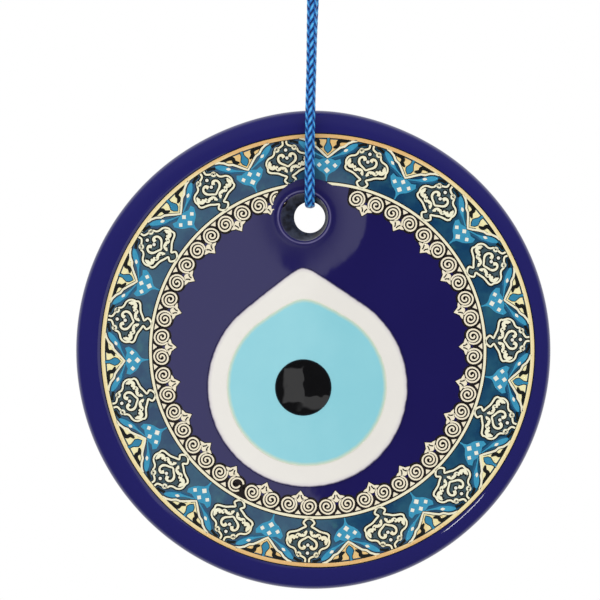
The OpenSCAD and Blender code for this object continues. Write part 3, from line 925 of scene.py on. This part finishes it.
def makeCord():
    # Rings round the path, point + r (first cos u + second sin u), with r raised by the braid.
    s = cordSizes
    line, way = cordPath()
    first, second = cordFrames(line)
    around = np.arange(s["around"]) * 2 * np.pi / s["around"]
    height = braidHeight(around[None, :], way[:, None])
    fromEnd = np.minimum(way, way[-1] - way)[:, None]
    melted = np.clip(fromEnd / s["meltedLength"], 0, 1)
    radius = s["diameter"] / 2 + s["yarnDepth"] * (height - s["yarnMiddle"]) * melted
    radius = radius * np.sqrt(np.clip(1 - (1 - np.clip(fromEnd / s["endRound"], 0, 1)) ** 2, 0.02, 1))
    cosines, sines = np.cos(around)[None, :, None], np.sin(around)[None, :, None]
    body = line[:, None, :] + (first[:, None, :] * cosines + second[:, None, :] * sines) * radius[:, :, None]
    # Pressed flat where it bears on the glass: heights over the lowest stretch shrink towards its upper side
    low = line[:, 2] < s["pressBelow"] - discDrop
    press = s["pressDepth"] * np.exp(-(line[:, 1] / s["pressReach"]) ** 2) * low
    upper = line[:, 2] + s["diameter"] / 2
    body[:, :, 2] += press[:, None] * np.clip((upper[:, None] - body[:, :, 2]) / s["diameter"], 0, 1)
    points = np.concatenate([body.reshape(-1, 3), line[:1], line[-1:]])
    count, ring = height.size, np.arange(s["around"])
    faces = [gridFaces(len(line), s["around"]), fanFaces(count, ring)[:, ::-1],
             fanFaces(count + 1, ring + count - s["around"])]
    values = {"yarnHeight": np.append(height.ravel(), [0.3, 0.3])}
    cord = makePiece("hangingCord", points, turnedOut(points, faces), braidedCord(),
                     ["cord_loop", "cord_knot", "cord_tails"], values, 180)
    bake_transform(cord)
    print("cord length", round(way[-1], 1), "mm")
    return cord


viewSizes = {  # metres
    "distance": 1.2, "x": -0.00364, "aboveMiddle": 0.01377,
    "frame": 0.1638,  # width of what is seen, at the disc's face
    "floor": -0.30, "floorRadius": 0.7,
}
# What the glass mirrors. Places are slopes as seen from the disc, to the right and upwards, as the pair of
# limits where a light fades in and the pair where it fades out; single numbers are brightness.
mirrorLights = {
    "panelRight": [(-0.1, -0.085), (0.0, 0.004)], "panelUp": [(-0.11, -0.1), (0.075, 0.085)],
    "ledgeRight": [(-0.05, 0.0), (0.12, 0.14)], "ledgeUp": [(-0.14, -0.12), (-0.074, -0.07)], "ledge": 0.9,
    "lampAcross": 0.74, "lampDown": 0.67,  # the direction in which the lamp is long
    "lampOut": 0.575, "lampHalfLength": (0.06, 0.075), "lampHalfWidth": (0.034, 0.046), "lamp": 16,
    "behind": 0.8, "ceiling": 0.12, "least": 0.05,
}


def makeCamera():
    v = viewSizes
    data = bpy.data.cameras.new("camera")
    data.sensor_width = 36
    data.lens = data.sensor_width * (v["distance"] - discHalf * mm) / v["frame"]
    data.clip_start, data.clip_end = 0.05, 20
    camera = bpy.data.objects.new("camera", data)
    camera.location = (v["x"], -v["distance"], v["aboveMiddle"] - discDrop * mm)
    camera.rotation_euler = (np.pi / 2, 0, 0)
    bpy.context.scene.collection.objects.link(camera)
    bpy.context.scene.camera = camera


def makeStudio():
    # White all round for the camera. What the glass mirrors is a soft white panel to the left of the
    # camera with a ledge low in the middle, a paler ceiling, the white sweep behind the disc, and one small
    # lamp on the right.
    m = mirrorLights
    world = bpy.data.worlds.new("studio")
    bpy.context.scene.world = world
    shader = Shader(world)
    x, y, z = shader.axes(shader.spots.outputs["Generated"])
    ahead = shader.math("MAXIMUM", -y, 0.001)
    right, up = x / ahead, z / ahead
    front = shader.step(-y, 0.0, 0.1)
    panel = shader.window(right, *m["panelRight"]) * shader.window(up, *m["panelUp"])
    ledge = shader.window(right, *m["ledgeRight"]) * shader.window(up, *m["ledgeUp"]) * m["ledge"]
    behind = shader.step(y, 0.1, 0.6) * m["behind"]
    ceiling = shader.step(z, 0.35, 0.85) * m["ceiling"]
    along = m["lampAcross"] * right + m["lampDown"] * up
    outward = m["lampDown"] * right - m["lampAcross"] * up
    lamp = 1 - shader.step(abs(along), *m["lampHalfLength"])
    lamp = lamp * (1 - shader.step(abs(outward - m["lampOut"]), *m["lampHalfWidth"])) * m["lamp"]
    mirrored = shader.math("MAXIMUM", shader.math("MAXIMUM", panel, ledge) * front, behind)
    mirrored = mirrored + ceiling + lamp * front + m["least"]
    soft = 0.86 + 0.22 * z - 0.10 * y - 0.06 * x  # what lights everything that is not a mirror
    rays = shader.node("ShaderNodeLightPath")
    seen = Number(shader, rays.outputs["Is Camera Ray"])
    gloss = Number(shader, rays.outputs["Is Glossy Ray"])
    strength = gloss * mirrored + (1 - gloss) * soft
    shader.feed(shader.surface.inputs["Strength"], seen + (1 - seen) * strength)
    shader.surface.inputs["Color"].default_value = (1, 1, 1, 1)
    world.cycles.sampling_method = "NONE"
    bpy.context.scene.view_settings.view_transform = "Standard"


def makeFloor():
    # A round pale floor: rings (r sin u, r cos u) at one height, closed by a fan round its middle.
    floorHeight, across = viewSizes["floor"], 96
    rings = np.linspace(0.02, viewSizes["floorRadius"], 12)[:, None]
    u = np.arange(across) * 2 * np.pi / across
    top = np.stack(np.broadcast_arrays(rings * np.sin(u), rings * np.cos(u), floorHeight), axis=-1)
    points = np.concatenate([top.reshape(-1, 3), [[0, 0, floorHeight]]])
    middle = fanFaces(len(points) - 1, np.arange(across))[:, ::-1]
    mesh = bpy.data.meshes.new("floor")
    mesh.from_pydata(points.tolist(), [], gridFaces(len(rings), across).tolist() + middle.tolist())
    shader = newShader("paleFloor")
    tone = shader.blend(shader.noise(30, 3), colour(236, 235, 233), colour(228, 227, 225))
    mesh.materials.append(shader.finish(baseColor=tone, roughness=0.7))
    floor = bpy.data.objects.new("floor", mesh)
    bpy.context.scene.collection.objects.link(floor)
    floor.visible_glossy = False


makeCamera()
makeStudio()
makeFloor()
print("camera, light and floor made")
makeCord()
discPieces = [
    makeGlassDisc(),
    makePour("whiteDrop", pourSizes["white"], whiteGlass(), "white_drop"),
    makePour("turquoiseIris", pourSizes["iris"], turquoiseGlass(), "turquoise_iris"),
    makePour("blackPupil", pourSizes["pupil"], blackGlass(), "black_pupil")]
print("glass made")
discPieces += makeBorder()
print("border made")
for piece in discPieces:
    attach(piece, "disc")
